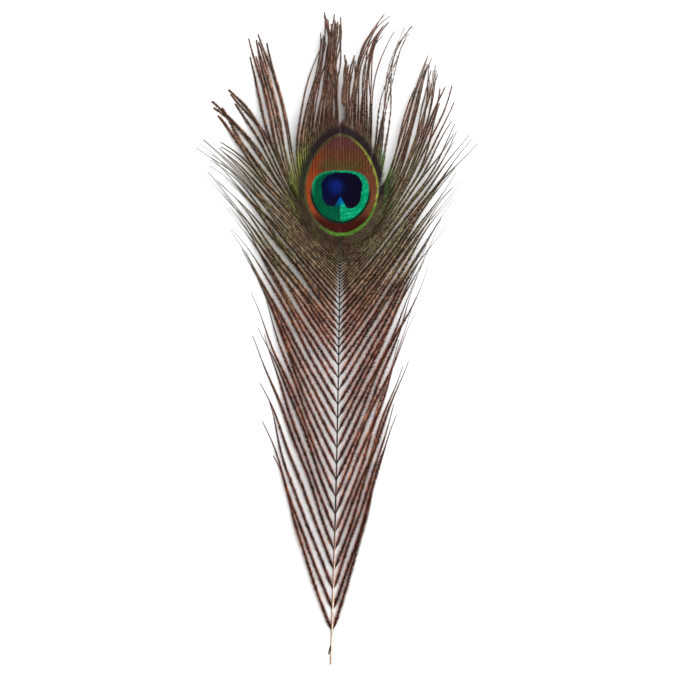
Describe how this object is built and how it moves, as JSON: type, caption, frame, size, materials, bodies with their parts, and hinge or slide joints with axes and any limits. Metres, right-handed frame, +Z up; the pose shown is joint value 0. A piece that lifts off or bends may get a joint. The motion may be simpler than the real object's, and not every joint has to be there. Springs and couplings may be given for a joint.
{
  "type": "peacock feather",
  "caption": "Peacock eye feather lying face up: a tapering shaft, loose copper barbs along both sides, a round blue and green eye and a fringe of split locks above it",
  "frame": {"origin": "on the surface it rests on, under the middle of the feather", "axes": "+Y along the shaft from the cut end to the tip, +X to the right of the eye seen from above, +Z up from the surface, the feather face up"},
  "size_m": [0.128, 0.2986, 0.0101],
  "materials": {
    "shaft": "dull natural keratin, ivory at the cut end and dark towards the eye",
    "barbs": "fine copper and olive barbules with a soft metallic sheen",
    "eye": "iridescent barbules, green, bronze, turquoise and dark blue"
  },
  "bodies": {
    "root": {"shaft": "shaft", "left_barb_01": "barbs", "left_barb_02": "barbs", "left_barb_03": "barbs", "left_barb_04": "barbs", "left_barb_05": "barbs", "left_barb_06": "barbs", "left_barb_07": "barbs", "left_barb_08": "barbs", "left_barb_09": "barbs", "left_barb_10": "barbs", "left_barb_11": "barbs", "left_barb_12": "barbs", "left_barb_13": "barbs", "left_barb_14": "barbs", "left_barb_15": "barbs", "left_barb_16": "barbs", "left_barb_17": "barbs", "left_lock_18": "barbs", "left_lock_19": "barbs", "left_lock_20": "barbs", "left_lock_21": "barbs", "left_lock_22": "barbs", "left_lock_23": "barbs", "left_lock_24": "eye", "left_lock_25": "eye", "left_lock_26": "eye", "left_lock_27": "eye", "left_lock_28": "eye", "left_lock_29": "eye", "right_barb_01": "barbs", "right_barb_02": "barbs", "right_barb_03": "barbs", "right_barb_04": "barbs", "right_barb_05": "barbs", "right_barb_06": "barbs", "right_barb_07": "barbs", "right_barb_08": "barbs", "right_barb_09": "barbs", "right_barb_10": "barbs", "right_barb_11": "barbs", "right_barb_12": "barbs", "right_barb_13": "barbs", "right_barb_14": "barbs", "right_barb_15": "barbs", "right_barb_16": "barbs", "right_barb_17": "barbs", "right_lock_18": "barbs", "right_lock_19": "barbs", "right_lock_20": "barbs", "right_lock_21": "barbs", "right_lock_22": "barbs", "right_lock_23": "barbs", "right_lock_24": "eye", "right_lock_25": "eye", "right_lock_26": "eye", "right_lock_27": "eye", "right_lock_28": "eye", "right_lock_29": "eye"}
  },
  "joints": []
}
